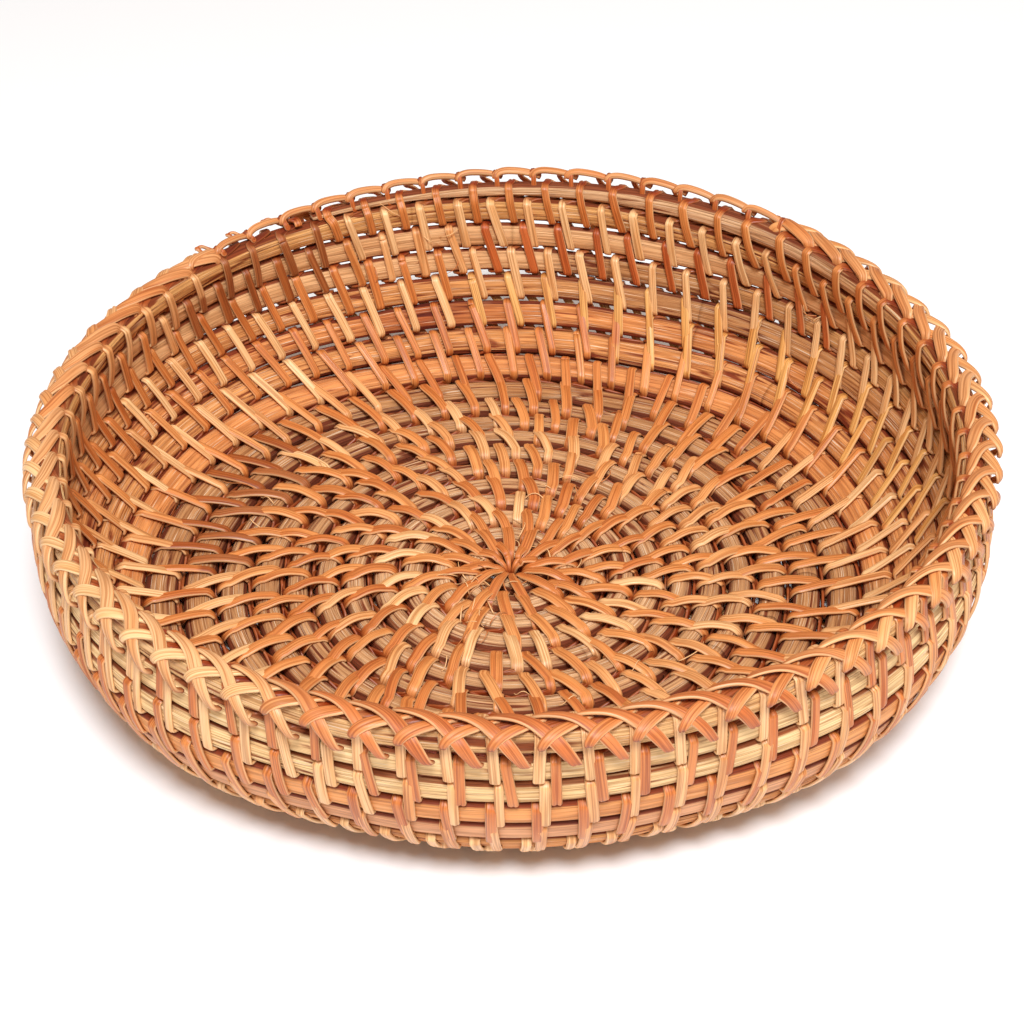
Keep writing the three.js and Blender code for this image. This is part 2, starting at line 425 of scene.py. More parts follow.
def rod_rings(turn):
    """Sections of the foundation at each turn, with their grain, colour and painted shade."""
    length = coil_length(turn)
    smooth, colour = foundation_look(turn)
    share = rod_share(turn)
    opened = open_back(turn)
    centre = course_edge(turn) + COURSE / 2
    full = course_width(turn, centre) - rod_gap(turn)
    swell = (SWELL + OPEN_SWELL * opened) * swell_noise(length / SWELL_LENGTH)
    width = full * share * (1 + swell)
    seat = np.where(turn > TAPER_START, (1 - share) * full / 2, 0)
    thickness = (ROD_THICKNESS - OPEN_THINNING * opened) * np.sqrt(share)
    thickness = thickness * (1 - LATH_THINNING * smooth)
    power = np.interp(turn, ROD_CORNER, (FLOOR_POWER, WALL_POWER))
    power = power + LATH_POWER * smooth * (1 - opened) + OPEN_POWER * opened

    around = np.linspace(0, 2 * np.pi, ROD_SIDES, endpoint=False)[None, :]
    cos, sin = np.cos(around), np.sin(around)
    exponent = (2 / power)[:, None]
    a = np.sign(cos) * np.abs(cos) ** exponent
    b = np.sign(sin) * np.abs(sin) ** exponent

    cells = around / (2 * np.pi)
    along = length[:, None]
    ridges = RIDGE_HEIGHT * ridge_noise(along / RIDGE_LENGTH, cells * RIDGES)
    fibres = FIBRE_HEIGHT * fibre_noise(along / FIBRE_LENGTH, cells * FIBRES)
    splits = np.abs(split_noise(along / SPLIT_LENGTH, cells * SPLITS)) / SPLIT_WIDTH
    grooves = SPLIT_DEPTH * np.clip(1 - splits, 0, 1)
    rough = ((1 - LATH_SMOOTHING * smooth) * np.sqrt(share))[:, None]
    relief = rough * (ridges + fibres - grooves)

    sideways, deep = (WANDER * wander_noise(length / WANDER_LENGTH, i) for i in range(2))
    a = a * (width[:, None] / 2 + relief) + sideways[:, None]
    b = b * (thickness[:, None] / 2 + relief) + WANDER_DEPTH_SHARE * deep[:, None]
    b = b + OPEN_THINNING / 2 * opened[:, None]

    slope = inner_slope(turn, centre - seat)[:, None]
    middle_r, middle_z = inner_face(turn, centre - seat)
    depth = SHELL / 2 - b
    r = middle_r[:, None] + a * np.cos(slope) + depth * np.sin(slope)
    z = middle_z[:, None] + a * np.sin(slope) - depth * np.cos(slope)
    rings = place(turn[:, None], r, z)

    perimeter = 2 * (width + thickness)[:, None]
    grain = np.stack(np.broadcast_arrays(along, perimeter * cells, 0.0), axis=-1)
    tone = np.broadcast_to(colour[:, None, :], rings.shape)
    flank = smoothstep(*FLANK_COSINES, np.abs(cos) ** exponent)
    # Painted shade: lower in the splits and on the flanks that face the gaps between rods.
    shade = relief / FULL_RELIEF - FLANK_SHADE * flank
    worn = np.broadcast_to(shade[..., None], rings.shape[:2] + (1,))
    lath = np.broadcast_to(smooth[:, None, None], rings.shape[:2] + (1,))
    return rings, grain, tone, worn, lath


def build_rod(name, start, stop, material):
    steps = max(4, math.ceil((coil_length(stop) - coil_length(start)) / ROD_STEP))
    rings, grain, tone, worn, lath = rod_rings(np.linspace(start, stop, steps + 1))
    body = Body()
    body.sweep(rings, grain=grain, tone=tone, worn=worn, lath=lath)
    return body.build(name, material)


# ---------------------------------------------------------------- ribbons of split cane
# Section of a strip: crowned outside, nearly flat inside, as shares of its half sizes.
OUTER_ACROSS = np.array([-1, -0.88, -0.64, -0.33, 0, 0.33, 0.64, 0.88, 1])
OUTER_HEIGHT = np.array([0.0, 0.56, 0.83, 0.95, 1, 0.95, 0.83, 0.56, 0.0])
INNER_ACROSS = np.array([0.94, 0.5, 0, -0.5, -0.94])
INNER_HEIGHT = np.array([-0.8, -1, -1, -1, -0.8])
SECTION_ACROSS = np.concatenate([OUTER_ACROSS, INNER_ACROSS])
SECTION_HEIGHT = np.concatenate([OUTER_HEIGHT, INNER_HEIGHT])
OUTER_SHARE = (np.arange(len(SECTION_ACROSS)) < len(OUTER_ACROSS)).astype(float)

CANE_RIDGES, CANE_RIDGE_LENGTH, CANE_RIDGE_HEIGHT = 3.2, 16, 0.2
CUT_WIDTH, CUT_WAVE, CUT_DEPTH = 0.2, 0.12, 0.9
SEED_COLUMNS, SEED_ROWS, SEED_GRAIN = 7.3, 31.7, 3.1
cane_noise = Noise(6, 800, 40)


def add_ribbon(body, points, outward, half_width, half_thickness, tone, seed,
               split=0.0, tuck=0.0):
    """Adds a strip that follows points, with its crowned face outward, and painted shade where it
    is tucked in.
    """
    tangent = unit(np.gradient(points, axis=0))
    normal = unit(outward - np.sum(outward * tangent, axis=1, keepdims=True) * tangent)
    side = np.cross(tangent, normal)
    along = np.append(0, np.cumsum(np.linalg.norm(np.diff(points, axis=0), axis=1)))
    half_width = np.broadcast_to(half_width, along.shape)
    half_thickness = np.broadcast_to(half_thickness, along.shape)
    split = np.broadcast_to(split, along.shape)

    across = SECTION_ACROSS[None, :] * half_width[:, None]
    column = SECTION_ACROSS[None, :] * CANE_RIDGES + SEED_COLUMNS * seed
    ridges = cane_noise(along[:, None] / CANE_RIDGE_LENGTH + SEED_ROWS * seed, column)
    off_cut = (SECTION_ACROSS[None, :] - CUT_WAVE * ridges) / CUT_WIDTH
    cut = np.exp(-off_cut ** 2) * split[:, None]
    relief = OUTER_SHARE[None, :] * (CANE_RIDGE_HEIGHT * ridges - CUT_DEPTH * cut)
    height = (SECTION_HEIGHT[None, :] + relief) * half_thickness[:, None]
    rings = points[:, None] + side[:, None] * across[..., None]
    rings = rings + normal[:, None] * height[..., None]

    grain = np.stack(np.broadcast_arrays(along[:, None], across, SEED_GRAIN * seed), axis=-1)
    tones = np.broadcast_to(np.asarray(tone).reshape(-1, 1, 3), rings.shape)
    edge = np.broadcast_to(np.abs(SECTION_ACROSS)[None, :, None], rings.shape[:2] + (1,))
    # Painted shade: how far the strip darkens where it is tucked in.
    tucks = np.broadcast_to(np.asarray(tuck).reshape(-1, 1, 1), rings.shape[:2] + (1,))
    body.sweep(rings, grain=grain, tone=tones, edge=edge, tuck=tucks)


# ---------------------------------------------------------------- cane colours
HONEY = linear(224, 158, 98)
PALE = linear(240, 200, 152)
YELLOW = linear(230, 180, 112)
RUSSET = linear(196, 104, 52)
BROWN = linear(166, 94, 46)
TAWNY = linear(210, 136, 78)

# Binder strips with a colour of their own: (from turn, to turn, colour).
BINDERS = [
    (9.39, 9.50, BROWN), (10.38, 10.50, BROWN), (11.10, 11.32, TAWNY),
    (13.02, 13.20, YELLOW), (14.00, 14.27, YELLOW), (15.00, 15.27, PALE), (16.10, 16.265, RUSSET),
    (16.33, 16.40, BROWN), (17.33, 17.39, BROWN), (16.55, 16.70, PALE), (17.70, 17.86, PALE),
]
RUN_STITCHES = 17
BINDER_STRENGTH = 0.85
run_noise = np.random.default_rng(SEED + 7).uniform(0, 1, 400)


def binder_colour(count, turn):
    """Colour of each stitch: binders come in runs, and each stitch varies a little."""
    run = run_noise[np.floor(count / RUN_STITCHES + 0.37).astype(int) % len(run_noise)]
    own = run_noise[(np.floor(count * 7.3).astype(int) + 11) % len(run_noise)]
    mix = np.clip(run * 1.25 - 0.2 + 0.3 * (own - 0.5), 0, 1)[:, None]
    darker = TAWNY + (HONEY - TAWNY) * mix * 2
    paler = HONEY + (PALE - HONEY) * (mix * 2 - 1)
    colour = np.where(mix < 0.5, darker, paler)
    for start, stop, own_colour in BINDERS:
        inside = ((turn >= start) & (turn < stop))[:, None]
        tinted = own_colour * BINDER_STRENGTH + colour * (1 - BINDER_STRENGTH)
        colour = np.where(inside, tinted, colour)
    return colour


# ---------------------------------------------------------------- lashing
# One stitch: down the inner face over both rods, under the inner rod, up the outer face,
# and back over the outer rod. Advance along the coil is in stitches.
# The first four are how many points each part of a stitch has.
INNER_RUN, BOTTOM_BEND, OUTER_RUN, TOP_BEND = 9, 13, 8, 13
INNER_LEAN, OUTER_ADVANCE, OUTER_LEAN = 0.14, 0.38, -0.03
# A strip moves along the coil only inside the gap, from this share of a bend.
CROSS_FROM = 0.37
# The stitches at the eye lean less, up to the turn where they lean in full.
EYE_LEAN, EYE_LEAN_TURNS = 0.4, (0.5, 3.0)
FLOOR_LOOSENESS, WALL_LOOSENESS = 0.13, 0.05
WIDTH_VARIATION = 0.13
# Strips narrow towards the eye: half width there, and its growth with radius.
EYE_HALF_WIDTH, EYE_WIDENING = 0.35, 0.14
SPLIT_FROM, INNER_SPLIT = 0.2, 0.35
# A bend ends this far inside the edge of its course; the eye and the rim have less room.
END_CLEARANCE, EYE_ROOM, RIM_ROOM = 0.2, 0.9, 0.85
OUTER_BEND_SHARE, INNER_BEND_SHARE = 0.6, 0.8
RECESS_SHARE = 0.9
LEAST_ARC = 0.6


def stitch_template():
    """Columns: advance, lean, run position -1..1, bend reach, inner side 1..-1, next share."""
    rows = []
    for t in np.linspace(1, -1, INNER_RUN, endpoint=False):
        rows.append((0, INNER_LEAN * t, t, 0, 1, 0))
    for t in np.linspace(0, 1, BOTTOM_BEND, endpoint=False):
        u = smoothstep(CROSS_FROM, 1 - CROSS_FROM, t)
        lean = -INNER_LEAN + (INNER_LEAN - OUTER_LEAN) * u
        rows.append((OUTER_ADVANCE * u, lean, -1, -np.sin(np.pi * t), np.cos(np.pi * t), 0))
    for t in np.linspace(-1, 1, OUTER_RUN, endpoint=False):
        rows.append((OUTER_ADVANCE, OUTER_LEAN * t, t, 0, -1, 0))
    for t in np.linspace(0, 1, TOP_BEND, endpoint=False):
        u = smoothstep(CROSS_FROM, 1 - CROSS_FROM, t)
        lean = OUTER_LEAN + (INNER_LEAN - OUTER_LEAN) * u
        advance = OUTER_ADVANCE + (1 - OUTER_ADVANCE) * u
        rows.append((advance, lean, 1, np.sin(np.pi * t), -np.cos(np.pi * t), u))
    return np.array(rows)


TEMPLATE = stitch_template()
stitch_random = np.random.default_rng(SEED + 8).uniform(-1, 1, (1400, 6))


def lashing_path(first, last):
    """Centre line and outward direction of a strip from one stitch to another."""
    samples = (last + 1 - first) * len(TEMPLATE) + 1
    numbers = np.arange(first, last + 2)
    columns = np.tile(TEMPLATE, (len(numbers), 1))[:samples]
    advance, lean, run, reach, inner, following = columns.T
    number = np.repeat(numbers, len(TEMPLATE))[:samples]
    at = stitch_turn(number)
    straight = (at > PLAIT_LEAVE - 1) | (open_back(at) > 0.5)
    risen = np.where(inner == -1, (run + 1) / 2, (run == 1) & (reach > 0))
    advance = np.where(straight, risen, advance)

    def varied(column):
        here = stitch_random[number % len(stitch_random), column]
        beyond = stitch_random[(number + 1) % len(stitch_random), column]
        return here + (beyond - here) * following

    lean = lean * (EYE_LEAN + (1 - EYE_LEAN) * smoothstep(*EYE_LEAN_TURNS, stitch_turn(number)))
    lean = lean * np.where(run > 0, rod_share(np.maximum(stitch_turn(number + 0.5), 0)), 1)
    loose = np.interp(stitch_turn(number), LOOSENESS_CORNER, (FLOOR_LOOSENESS, WALL_LOOSENESS))
    turn = stitch_turn(number + advance + lean + loose * (varied(0) + varied(1) * run))
    edge = course_edge(turn)
    share = np.where(turn > TAPER_START, rod_share(np.minimum(turn, COIL_END)), 1)
    bend_reach = np.interp(turn, REACH_CORNER, (FLOOR_REACH, WALL_REACH))
    outer_end = (COURSE - END_CLEARANCE) * share + RIM_ROOM * (1 - share)
    inner_end = edge - np.maximum(edge - COURSE, EYE_ROOM) - END_CLEARANCE
    outer_reach = np.minimum(bend_reach, OUTER_BEND_SHARE * outer_end)
    inner_reach = np.minimum(bend_reach, INNER_BEND_SHARE * inner_end)
    across = run * np.where(run > 0, outer_end - outer_reach, inner_end - inner_reach)
    across = across + reach * np.where(reach > 0, outer_reach, inner_reach)
    thin = ROD_THICKNESS / 2 * (1 - np.sqrt(share))
    stand = STRIP_STANDOFF - thin * np.maximum(run, 0)
    recess = RECESS_SHARE * OPEN_THINNING * open_back(turn) * (1 - inner) / 2
    bend = np.gradient(slope_at(ARC), ARC)
    bridge = 0.5 * np.interp(edge, ARC, bend) * np.maximum(0, COURSE**2 - across**2) / 2
    arch = np.interp(turn, REACH_CORNER, (FLOOR_ARCH, WALL_ARCH))
    bridge = bridge + arch * (1 - run**2) ** ARCH_POWER

    def point(swell):
        a = across + swell * reach
        b = inner * (stand + swell) + bridge * np.maximum(inner, 0) + recess
        return shell_point(turn, np.maximum(edge + a, LEAST_ARC), SHELL / 2 - b)

    points = point(0.0)
    outward = unit(point(0.2) - points)
    return points, outward, number + following, turn, inner, varied


def add_lashing(body, first, last):
    points, outward, count, turn, inner, varied = lashing_path(first, last)
    radius = np.hypot(points[:, 0] - EYE_OFFSET[0], points[:, 1] - EYE_OFFSET[1])
    half_width = np.interp(turn, ROD_CORNER, (FLOOR_HALF_WIDTH, STRIP_HALF_WIDTH))
    half_width = half_width * (1 + WIDTH_VARIATION * varied(2))
    half_width = np.minimum(half_width, EYE_HALF_WIDTH + EYE_WIDENING * radius)
    split = np.clip(varied(3) - SPLIT_FROM, 0, 1)
    split = split * (INNER_SPLIT + (1 - INNER_SPLIT) * (inner < 0))
    colour = binder_colour(np.round(count), turn)
    # Painted shade on the bends, where the strip dives into the gap between rods.
    add_ribbon(body, points, outward, half_width, STRIP_HALF_THICKNESS, colour,
               seed=first % 37, split=split, tuck=1 - np.abs(inner))


def build_lashing(name, start, stop, material):
    first = math.ceil(stitch_count(start))
    last = math.ceil(stitch_count(stop)) - 1
    body = Body()
    add_lashing(body, first, last)
    return body.build(name, material)


# ---------------------------------------------------------------- stray fibres
# Where fibres have sprung loose: (angle, spread of angle, arc length, spread of it, how many).
FRAYS = [
    (215, 60, 14, 7, 16), (20, 70, 12, 5, 8), (70, 14, 42, 12, 5), (255, 20, 34, 10, 6),
    (222, 12, 88, 8, 12), (300, 25, 60, 12, 5), (200, 25, 100, 10, 6), (110, 12, 132, 12, 6),
    (48, 10, 118, 14, 5), (160, 20, 70, 14, 4),
]
FIBRE_HALF_WIDTH, FIBRE_HALF_THICKNESS = 0.18, 0.08
FIBRE_POINTS = 9
FIBRE_SPAN = (5, 12)
FIBRE_CURL = 1.6
FIBRE_LIFT = (0.4, 2.2)
FIBRE_ROOT_DEPTH = 0.6


def build_fibres(name, material):
    """Thin loose fibres that stand a little off the inner face."""
    body = Body()
    random = np.random.default_rng(SEED + 10)
    along = np.linspace(0, 1, FIBRE_POINTS)
    for angle, angle_spread, arc, arc_spread, count in FRAYS:
        for number in range(count):
            heading, length = random.uniform(0, 2 * np.pi), random.uniform(*FIBRE_SPAN)
            start = arc + arc_spread * random.uniform(-1, 1)
            curl = heading + random.uniform(-FIBRE_CURL, FIBRE_CURL) * along
            s = start + np.cumsum(np.cos(curl)) * length / len(along)
            sweep = np.cumsum(np.sin(curl)) * length / len(along) / (2 * np.pi * max(start, 6))
            turn = (angle + angle_spread * random.uniform(-1, 1)) * DEGREES + sweep
            rise = np.sin(np.pi * np.minimum(along * 1.25, 1))
            lift = random.uniform(*FIBRE_LIFT) * rise - FIBRE_ROOT_DEPTH
            points = shell_point(turn, np.maximum(s, 1.0), -lift)
            above = shell_point(turn, np.maximum(s, 1.0), -lift - 1)
            colour = PALE if random.uniform() < 0.6 else TAWNY
            width = FIBRE_HALF_WIDTH * (1 - 0.6 * along)
            add_ribbon(body, points, above - points, width, FIBRE_HALF_THICKNESS, colour, number)
    return body.build(name, material)


# ---------------------------------------------------------------- rim plait
# Each unit of the plait has an over strand, from the inside back edge to the outside
# front edge, and a return strand that crosses it. Columns: stitches along the rim,
# radius, height over the plait's middle.
OVER_STRAND = [
    (-0.20, 117.8, -10.0), (-0.16, 116.0, -8.6), (-0.12, 115.2, -5.4), (-0.05, 115.0, -2.2),
    (0.06, 115.4, -0.7), (0.34, 116.0, 0.0), (0.64, 116.9, 0.2), (0.92, 118.2, -0.2),
    (1.14, 119.8, -0.9), (1.32, 121.3, -1.9), (1.46, 122.4, -3.1), (1.58, 123.0, -4.6),
    (1.69, 123.2, -6.4), (1.79, 122.9, -8.2), (1.85, 121.2, -9.4),
]
RETURN_STRAND = [
    (0.11, 122.2, -4.2), (0.12, 122.6, -3.1), (0.20, 122.2, -1.9), (0.34, 121.2, -1.1),
    (0.54, 119.9, -0.8), (0.76, 118.6, -0.9), (0.96, 117.3, -1.1), (1.12, 116.1, -1.4),
    (1.22, 115.4, -2.6), (1.27, 115.1, -5.2), (1.29, 116.0, -8.4), (1.29, 117.8, -9.8),
]
OVER_HALF_WIDTH, RETURN_HALF_WIDTH = 1.6, 1.55
BRIDGE_HALF_WIDTH, POST_HALF_WIDTH = 1.0, 0.8

# Where the coil has run out the rim strand bridges from post to post.
BRIDGE_STRAND = [
    (-0.10, 118.5, -1.8), (0.06, 118.2, -0.9), (0.30, 117.9, 0.0), (0.58, 117.6, 0.6),
    (0.84, 117.4, 0.8), (1.02, 117.1, 0.4), (1.10, 116.7, -0.4), (1.11, 116.7, -1.1),
]
PLAIT_ADVANCE, KNOT_ADVANCE, POST_ADVANCE = 0.25, 0.32, 0.04
PLAIT_CENTRE_DROP = 6.0
# Arc length at which the plait takes its share of the belly.
RIM_ARC = 150.0
# How much strands differ: in stitches along the rim, in radius, and as a share of width.
STRAND_SHIFT, STRAND_STRAY, STRAND_VARIATION = 0.05, 0.15, 0.12
POST_COLOUR = TAWNY * 0.55 + RUSSET * 0.45
plait_random = np.random.default_rng(SEED + 9).uniform(-1, 1, (200, 6))


def plait_height(turn):
    """Height of the plait's middle: on the top course, then level over the coil's end."""
    turn = np.asarray(turn, float)
    t = np.clip((turn - PLAIT_LEAVE) / (PLAIT_JOIN + 1 - PLAIT_LEAVE), 0, 1)
    level = PLAIT_LEAVE + (PLAIT_JOIN - PLAIT_LEAVE) * t**2
    rest = np.where(turn <= PLAIT_LEAVE, turn, level)
    return inner_face(turn, course_edge(rest))[1] + PLAIT_HEIGHT / 2


def add_rim_strand(body, controls, count, half_width, colour, seed, taper=0.55, thick=0.5):
    """Adds one strand of the plait, placed at a stitch count along the rim."""
    path = catmull(controls, 4)
    jitter = plait_random[seed % len(plait_random)]
    path[:, 0] += STRAND_SHIFT * jitter[0]
    path[:, 1] += STRAND_STRAY * jitter[1]
    turn = stitch_turn(count + path[:, 0]) + 1
    height = plait_height(turn)
    swelling = belly(turn, RIM_ARC)
    points = place(turn, path[:, 1] + swelling, height + path[:, 2])
    heart = place(turn, PLAIT_RADIUS + swelling, height - PLAIT_CENTRE_DROP)
    share = np.linspace(0, 1, len(path))
    swell = taper + (1 - taper) * np.sin(np.pi * share) ** 0.6
    width = half_width * swell * (1 + STRAND_VARIATION * jitter[2])
    # Painted shade towards both ends of the strand, where it passes under others.
    add_ribbon(body, points, unit(points - heart), width, thick, colour, seed % 37,
               split=max(0.0, jitter[3] - 0.3), tuck=1 - np.sin(np.pi * share) ** 0.35)


def plait_colour(turn, russet, seed):
    angle = (turn % 1) * 360
    jitter = plait_random[seed % len(plait_random), 4]
    pale_share = smoothstep(170, 190, angle) * (1 - smoothstep(232, 244, angle))
    russet_share = smoothstep(236, 246, angle) * (1 - smoothstep(292, 304, angle))
    colour = HONEY + (PALE - HONEY) * (0.35 + 0.25 * jitter)
    colour = colour + (PALE - colour) * pale_share
    colour = colour + (RUSSET * 0.5 + HONEY * 0.5 - colour) * russet_share * 0.8
    return colour + (RUSSET - colour) * (0.25 if russet else 0.0)


def build_plait(name, start, stop, material):
    """The plait on the top course, between two turns."""
    body = Body()
    for number in range(math.ceil(stitch_count(start - 1)), math.ceil(stitch_count(stop - 1))):
        turn = stitch_turn(number) + 1
        add_rim_strand(body, RETURN_STRAND, number + PLAIT_ADVANCE, RETURN_HALF_WIDTH,
                       plait_colour(turn, False, number), number * 2)
        add_rim_strand(body, OVER_STRAND, number + PLAIT_ADVANCE, OVER_HALF_WIDTH,
                       plait_colour(turn, True, number + 50), number * 2 + 1)
    return body.build(name, material)


def top_rod_band(turn):
    """Height of the top and bottom of the thin top rod below the plait's middle."""
    coil = turn - 1
    edge = course_edge(coil)
    bottom = inner_face(turn, edge + 0.5)[1]
    top = inner_face(turn, edge + 0.7 + (COURSE - 1.1) * rod_share(coil))[1]
    middle = plait_height(turn)
    return top - middle, bottom - middle


def build_bridge(name, start, stop, material):
    """The open part of the rim: bridging strands on posts round the thin top rod."""
    body = Body()
    for number in range(math.ceil(stitch_count(start - 1)), math.ceil(stitch_count(stop - 1))):
        turn = stitch_turn(number) + 1
        top, bottom = top_rod_band(turn)
        middle = (top + bottom) / 2
        knot = number + KNOT_ADVANCE
        add_rim_strand(body, BRIDGE_STRAND, knot, BRIDGE_HALF_WIDTH,
                       plait_colour(turn, True, number), number * 3, taper=0.8, thick=0.75)
        post = [
            (0.02, 118.2, 0.5), (0.0, 117.0, 0.3), (-0.01, 116.0, -1.0),
            (-0.02, 115.6, top + 0.2), (-0.04, 115.3, middle), (-0.08, 115.6, bottom + 0.6),
            (-0.14, 116.8, bottom), (-0.14, 118.6, bottom - 0.3), (0.0, 121.0, bottom),
            (0.16, 122.3, bottom + 1.2), (0.30, 122.3, middle + 0.5), (0.36, 121.4, top + 0.4),
            (0.24, 119.8, -1.7), (0.10, 118.4, -0.5), (0.02, 117.6, 0.4),
        ]
        add_rim_strand(body, post, knot + POST_ADVANCE, POST_HALF_WIDTH, POST_COLOUR,
                       number * 3 + 1, taper=0.85)
    return body.build(name, material)


# ---------------------------------------------------------------- materials
# Colours that a material multiplies its tone by, or mixes into it.
ROD_DARK, ROD_PALE = (0.78, 0.70, 0.62, 1), (1.12, 1.14, 1.14, 1)
ROD_MOTTLE = (0.84, 0.74, 0.64, 1)
ROD_LINES = (0.47, 0.27, 0.14, 1)
ROD_FIBRES = (0.92, 0.80, 0.64, 1)
ROD_SHADE = (0.34, 0.10, 0.02, 1)
CANE_DARK, CANE_PALE = (0.74, 0.62, 0.50, 1), (1.10, 1.12, 1.12, 1)
CANE_RED = (0.88, 0.70, 0.50, 1)
CANE_EDGE = (0.90, 0.66, 0.38, 1)
CANE_SHADE = (0.44, 0.14, 0.03, 1)
COLOUR_GAMMA = 1.2


def new_material(name):
    material = bpy.data.materials.new(name)
    material.use_nodes = True
    tree = material.node_tree
    tree.nodes.clear()
    return material, tree


def node(tree, kind, inputs=None, **settings):
    """Adds a node; an input is a socket to link or a value to set."""
    made = tree.nodes.new(kind)
    for key, value in settings.items():
        setattr(made, key, value)
    for key, value in (inputs or {}).items():
        if isinstance(value, bpy.types.NodeSocket):
            tree.links.new(value, made.inputs[key])
        else:
            made.inputs[key].default_value = value
    return made


def attribute(tree, name):
    return node(tree, "ShaderNodeAttribute", attribute_type="GEOMETRY", attribute_name=name)


def streaks(tree, grain, scale, detail=3.0, distortion=0.0):
    """Noise drawn out along the grain; scale is per millimetre along and across."""
    stretched = node(tree, "ShaderNodeVectorMath", {0: grain, 1: scale}, operation="MULTIPLY")
    noise = node(tree, "ShaderNodeTexNoise",
                 {"Vector": stretched.outputs[0], "Scale": 1.0, "Detail": detail,
                  "Distortion": distortion})
    return noise.outputs["Fac"]


def ramp(tree, value, low, high, to_low=0.0, to_high=1.0):
    made = node(tree, "ShaderNodeMapRange",
                {"Value": value, "From Min": low, "From Max": high, "To Min": to_low,
                 "To Max": to_high}, interpolation_type="SMOOTHSTEP")
    return made.outputs["Result"]


def multiply(tree, a, b):
    return node(tree, "ShaderNodeMath", {0: a, 1: b}, operation="MULTIPLY").outputs[0]


def tint(tree, factor, a, b, blend="MIX"):
    """Mixes two colours; a and b are sockets or colours."""
    made = node(tree, "ShaderNodeMix", data_type="RGBA", blend_type=blend)
    for index, value in ((0, factor), (6, a), (7, b)):
        if isinstance(value, bpy.types.NodeSocket):
            tree.links.new(value, made.inputs[index])
        else:
            made.inputs[index].default_value = value
    return made.outputs[2]


def finish_material(tree, colour, roughness, height, bump_distance, **constants):
    colour = node(tree, "ShaderNodeGamma", {"Color": colour, "Gamma": COLOUR_GAMMA}).outputs[0]
    bump = node(tree, "ShaderNodeBump",
                {"Height": height, "Strength": 0.7, "Distance": bump_distance})
    shader = node(tree, "ShaderNodeBsdfPrincipled",
                  {"Base Color": colour, "Roughness": roughness, "Normal": bump.outputs[0],
                   **constants})
    output = node(tree, "ShaderNodeOutputMaterial")
    tree.links.new(shader.outputs[0], output.inputs["Surface"])


def rod_material(name):
    """Bundled foundation: dark lines and pale fibres along it, plainer where it is a lath, with
    painted shade in its splits and on its flanks.
    """
    material, tree = new_material(name)
    grain = attribute(tree, "grain").outputs["Vector"]
    tone = attribute(tree, "tone").outputs["Color"]
    worn = attribute(tree, "worn").outputs["Fac"]
    lath = attribute(tree, "lath").outputs["Fac"]
    coarse = streaks(tree, grain, (0.035, 1.5, 1.0), 3.0, 0.3)
    fine = streaks(tree, grain, (0.06, 4.2, 1.0), 3.0)
    patches = streaks(tree, grain, (0.045, 0.2, 1.0), 2.0)
    bundled = node(tree, "ShaderNodeMath", {0: 1.0, 1: lath}, operation="SUBTRACT").outputs[0]
    dark_share = ramp(tree, bundled, 0, 1, 0.25, 0.7)
    pale_share = ramp(tree, bundled, 0, 1, 0.15, 0.75)
    dark_lines = multiply(tree, ramp(tree, fine, 0.47, 0.33), dark_share)
    pale_fibres = multiply(tree, ramp(tree, fine, 0.56, 0.70), pale_share)
    colour = tint(tree, ramp(tree, coarse, 0.35, 0.62), ROD_DARK, ROD_PALE)
    colour = tint(tree, 1.0, tone, colour, "MULTIPLY")
    mottled = tint(tree, 1.0, colour, ROD_MOTTLE, "MULTIPLY")
    colour = tint(tree, ramp(tree, patches, 0.42, 0.66, 0.0, 0.55), colour, mottled)
    shadowed = tint(tree, 1.0, colour, ROD_LINES, "MULTIPLY")
    colour = tint(tree, dark_lines, colour, shadowed)
    colour = tint(tree, pale_fibres, colour, ROD_FIBRES)
    # Painted shade: the colour darkens to a deep red-brown in the splits and on the flanks.
    deep = tint(tree, 1.0, colour, ROD_SHADE, "MULTIPLY")
    colour = tint(tree, ramp(tree, worn, -0.2, -0.9, 0.0, 0.92), colour, deep)
    roughness = ramp(tree, lath, 0, 1, 0.78, 0.55)
    finish_material(tree, colour, roughness, fine, 0.0004, **{"Specular IOR Level": 0.35})
    return material


def cane_material(name, roughness):
    """Split cane skin: silky, with fine lines along it, paler at its edges, and painted shade where
    it is tucked in.
    """
    material, tree = new_material(name)
    grain = attribute(tree, "grain").outputs["Vector"]
    tone = attribute(tree, "tone").outputs["Color"]
    edge = attribute(tree, "edge").outputs["Fac"]
    tuck = attribute(tree, "tuck").outputs["Fac"]
    lines = streaks(tree, grain, (0.03, 2.4, 1.0), 3.0)
    broad = streaks(tree, grain, (0.05, 0.5, 1.0), 2.0)
    colour = tint(tree, ramp(tree, lines, 0.36, 0.60), CANE_DARK, CANE_PALE)
    colour = tint(tree, 1.0, tone, colour, "MULTIPLY")
    reddened = tint(tree, 1.0, colour, CANE_RED, "MULTIPLY")
    colour = tint(tree, ramp(tree, broad, 0.45, 0.68, 0.0, 0.7), colour, reddened)
    colour = tint(tree, ramp(tree, edge, 0.80, 0.99, 0.0, 0.55), colour, CANE_EDGE)
    # Painted shade: the colour darkens towards a deep red-brown where the strip is tucked in.
    shaded = tint(tree, 1.0, colour, CANE_SHADE, "MULTIPLY")
    colour = tint(tree, ramp(tree, tuck, 0.1, 0.95, 0.0, 0.9), colour, shaded)
    rough = ramp(tree, broad, 0.3, 0.7, roughness - 0.06, roughness + 0.1)
    finish_material(tree, colour, rough, lines, 0.0003, **{"Specular IOR Level": 0.5})
    return material


# ---------------------------------------------------------------- the pieces
def ordered_nodes(piece):
    """CAD nodes of one kind from the eye outwards: floor, then corner, then wall."""
    names = []
    for region in ("floor", "corner", "wall"):
        names += sorted(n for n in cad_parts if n.startswith(f"{region}_{piece}_"))
    return names


